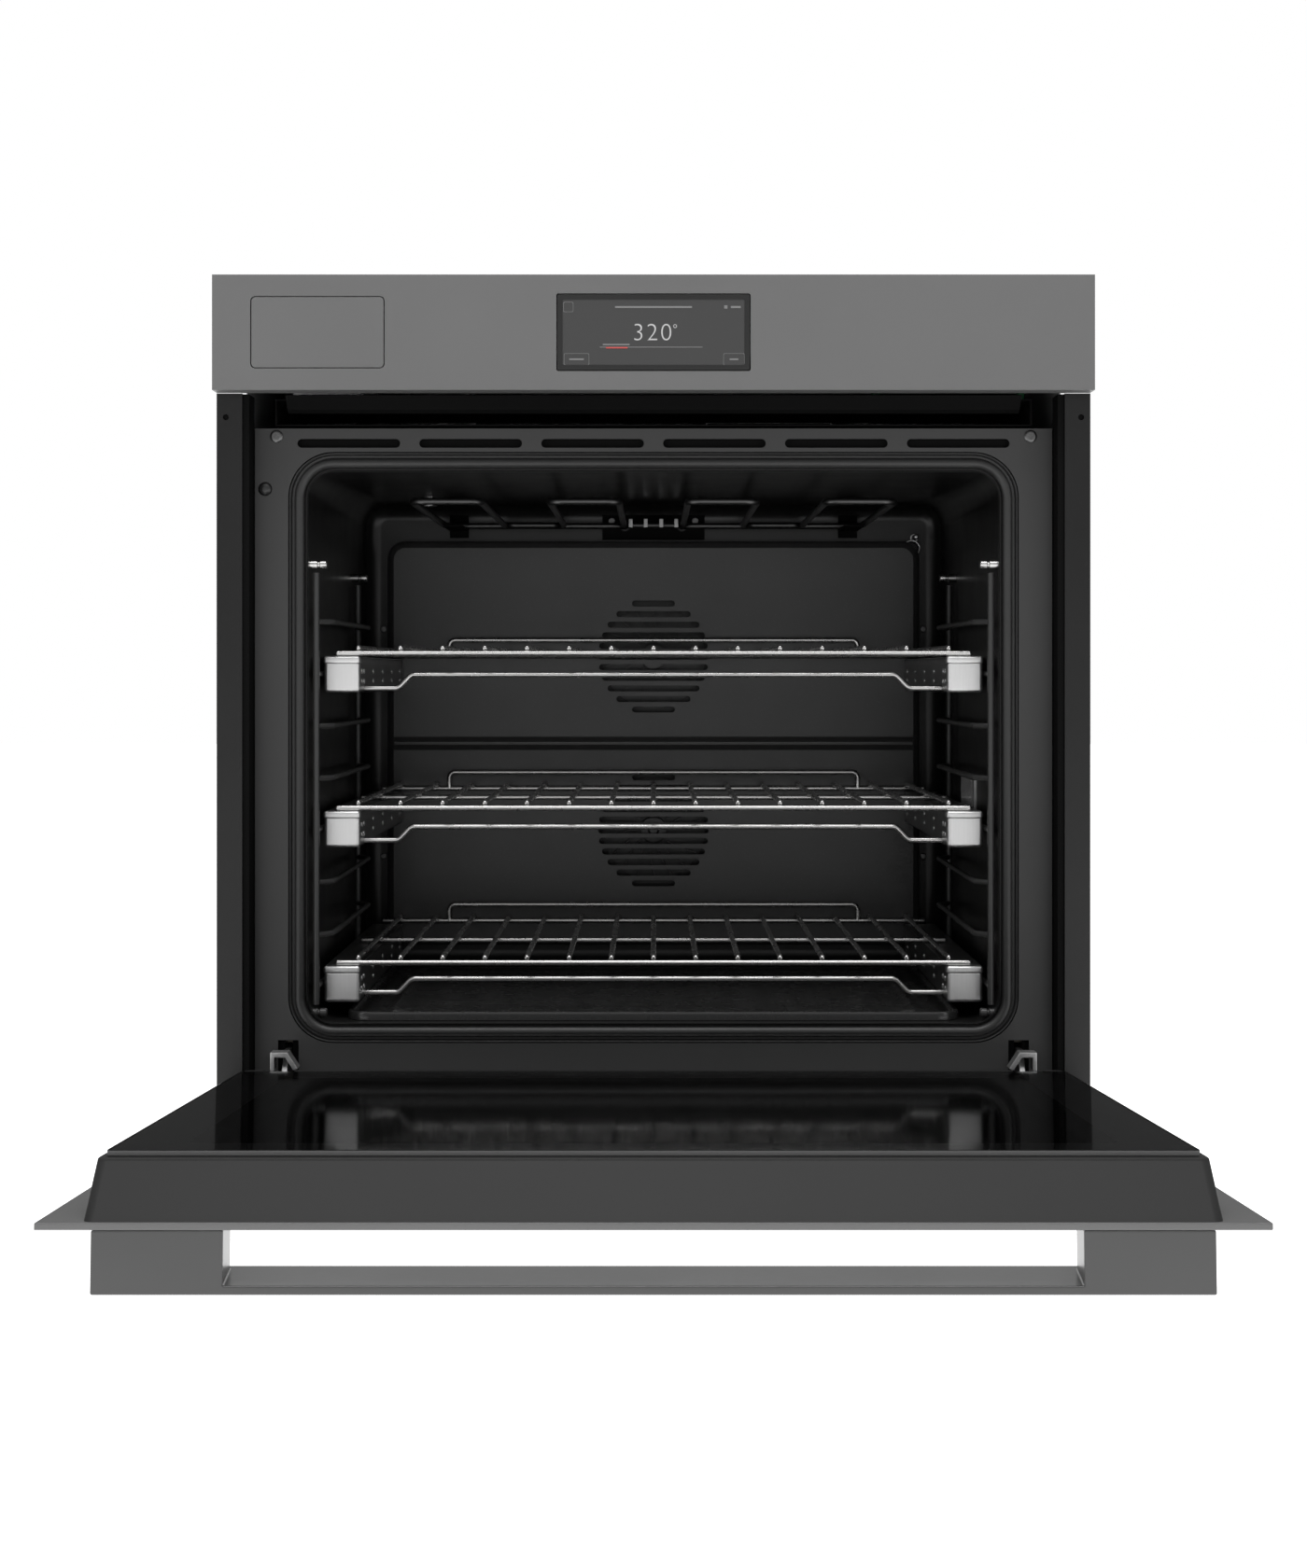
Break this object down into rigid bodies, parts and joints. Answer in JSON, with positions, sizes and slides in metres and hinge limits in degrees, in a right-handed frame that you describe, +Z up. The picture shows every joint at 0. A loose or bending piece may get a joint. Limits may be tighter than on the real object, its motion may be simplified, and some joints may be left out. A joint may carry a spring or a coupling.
{
  "type": "wall oven",
  "caption": "Built-in wall oven with a drop-down glass door, touch control panel, water tank drawer, rear fans and pull-out wire shelves on telescopic slides.",
  "frame": {"origin": "middle of the base pan's front edge, in the plane of the cabinet's face, on the surface that the oven stands on", "axes": "+X to the right seen from the front, +Y back into the cabinet, +Z up"},
  "size_m": [0.757, 1.1855, 0.7285],
  "materials": {
    "front_metal": "grey satin, fingerprint-proof metal of the panel, door plate and handle",
    "handle_metal": "grey satin anodised bar",
    "trim_metal": "dark grey satin trim",
    "frame_enamel": "dark grey baked enamel",
    "cavity_enamel": "dark grey-blue speckled enamel, semi-gloss",
    "galvanised": "galvanised sheet steel",
    "bright_steel": "polished chromed wire",
    "slide_steel": "satin stainless steel",
    "element_steel": "heat-darkened steel rod",
    "black_glass": "gloss black screen glass",
    "door_glass": "tinted door glass",
    "lens_glass": "ribbed clear lamp glass",
    "seal_rubber": "dark grey silicone",
    "black_plastic": "black moulded plastic",
    "tank_plastic": "clear moulded plastic",
    "white_plastic": "white moulded plastic",
    "board": "green circuit board with components",
    "motor_steel": "motor laminations and casing",
    "rotor_aluminium": "pressed aluminium",
    "wool": "mineral wool blanket"
  },
  "bodies": {
    "oven_case": {"base_pan": "galvanised", "side_panels": "galvanised", "back_panel": "galvanised", "top_cover": "galvanised", "front_frame": "frame_enamel", "side_trims": "trim_metal", "control_panel_fascia": "front_metal", "touch_screen": "black_glass", "display_module": "black_plastic", "control_board": "board", "service_deck": "galvanised", "tank_sleeve": "white_plastic", "water_pump": "black_plastic", "steam_generator": "motor_steel", "steam_pipe": "slide_steel", "cooling_duct": "galvanised", "blower_housing": "galvanised", "blower_motor": "motor_steel", "cavity_liner": "cavity_enamel", "insulation": "wool", "door_seal": "seal_rubber", "fan_cover": "cavity_enamel", "fan_motors": "motor_steel", "ring_elements": "element_steel", "grill_element": "element_steel", "grill_brackets": "slide_steel", "bottom_element": "element_steel", "temperature_probe": "slide_steel", "floor_tray": "cavity_enamel", "lamp_housing": "galvanised", "lamp_lens": "lens_glass", "lamp_bulb": "lens_glass", "shelf_ladders": "bright_steel", "ladder_studs": "bright_steel", "slide_rails": "slide_steel", "door_switch": "black_plastic", "hinge_brackets": "slide_steel", "terminal_block": "white_plastic", "fixing_screws": "slide_steel"},
    "door": {"door_plate": "front_metal", "door_body": "frame_enamel", "door_glass": "door_glass", "door_hinge_arms": "slide_steel", "door_handle": "handle_metal"},
    "tank_drawer": {"tank_flap": "front_metal", "water_tank": "tank_plastic", "tank_lid": "tank_plastic"},
    "upper_fan": {"fan_rotor_upper": "rotor_aluminium"},
    "lower_fan": {"fan_rotor_lower": "rotor_aluminium"},
    "cooling_rotor": {"blower_rotor": "rotor_aluminium"},
    "switch_button": {"switch_plunger": "black_plastic"},
    "middle_slide_top": {"slide_middle_top": "slide_steel"},
    "pull_out_top": {"slide_carriage_top": "slide_steel", "shelf_top": "bright_steel"},
    "middle_slide_centre": {"slide_middle_centre": "slide_steel"},
    "pull_out_centre": {"slide_carriage_centre": "slide_steel", "shelf_centre": "bright_steel"},
    "middle_slide_bottom": {"slide_middle_bottom": "slide_steel"},
    "pull_out_bottom": {"slide_carriage_bottom": "slide_steel", "shelf_bottom": "bright_steel"}
  },
  "joints": [
    {"name": "door_hinge", "type": "hinge", "parent": "oven_case", "child": "door", "pos_m": [0, -0.013, 0.018], "axis": [-1, 0, 0], "range_deg": [0, 86.3]},
    {"name": "tank_slide", "type": "slide", "parent": "oven_case", "child": "tank_drawer", "axis": [0, 1, 0], "range_m": [-0.22, 0]},
    {"name": "upper_fan_spin", "type": "hinge", "parent": "oven_case", "child": "upper_fan", "pos_m": [0, 0.457, 0.40425], "axis": [0, 1, 0], "continuous": true},
    {"name": "lower_fan_spin", "type": "hinge", "parent": "oven_case", "child": "lower_fan", "pos_m": [0, 0.457, 0.22225], "axis": [0, 1, 0], "continuous": true},
    {"name": "blower_spin", "type": "hinge", "parent": "oven_case", "child": "cooling_rotor", "pos_m": [0.11, 0.3, 0.62], "axis": [0, 0, 1], "continuous": true},
    {"name": "door_switch_press", "type": "slide", "parent": "oven_case", "child": "switch_button", "axis": [0, 1, 0], "range_m": [0, 0.0025], "stiffness_N_per_m": 150, "springref_m": -0.004},
    {"name": "shelf_top_pull", "type": "slide", "parent": "oven_case", "child": "pull_out_top", "axis": [0, 1, 0], "range_m": [-0.3, 0]},
    {"name": "middle_slide_top_follow", "type": "slide", "parent": "oven_case", "child": "middle_slide_top", "axis": [0, 1, 0], "range_m": [-0.15, 0]},
    {"name": "shelf_centre_pull", "type": "slide", "parent": "oven_case", "child": "pull_out_centre", "axis": [0, 1, 0], "range_m": [-0.3, 0]},
    {"name": "middle_slide_centre_follow", "type": "slide", "parent": "oven_case", "child": "middle_slide_centre", "axis": [0, 1, 0], "range_m": [-0.15, 0]},
    {"name": "shelf_bottom_pull", "type": "slide", "parent": "oven_case", "child": "pull_out_bottom", "axis": [0, 1, 0], "range_m": [-0.3, 0]},
    {"name": "middle_slide_bottom_follow", "type": "slide", "parent": "oven_case", "child": "middle_slide_bottom", "axis": [0, 1, 0], "range_m": [-0.15, 0]}
  ],
  "couplings": [
    {"joint": "middle_slide_top_follow", "follows": "shelf_top_pull", "ratio": 0.5},
    {"joint": "middle_slide_centre_follow", "follows": "shelf_centre_pull", "ratio": 0.5},
    {"joint": "middle_slide_bottom_follow", "follows": "shelf_bottom_pull", "ratio": 0.5}
  ]
}
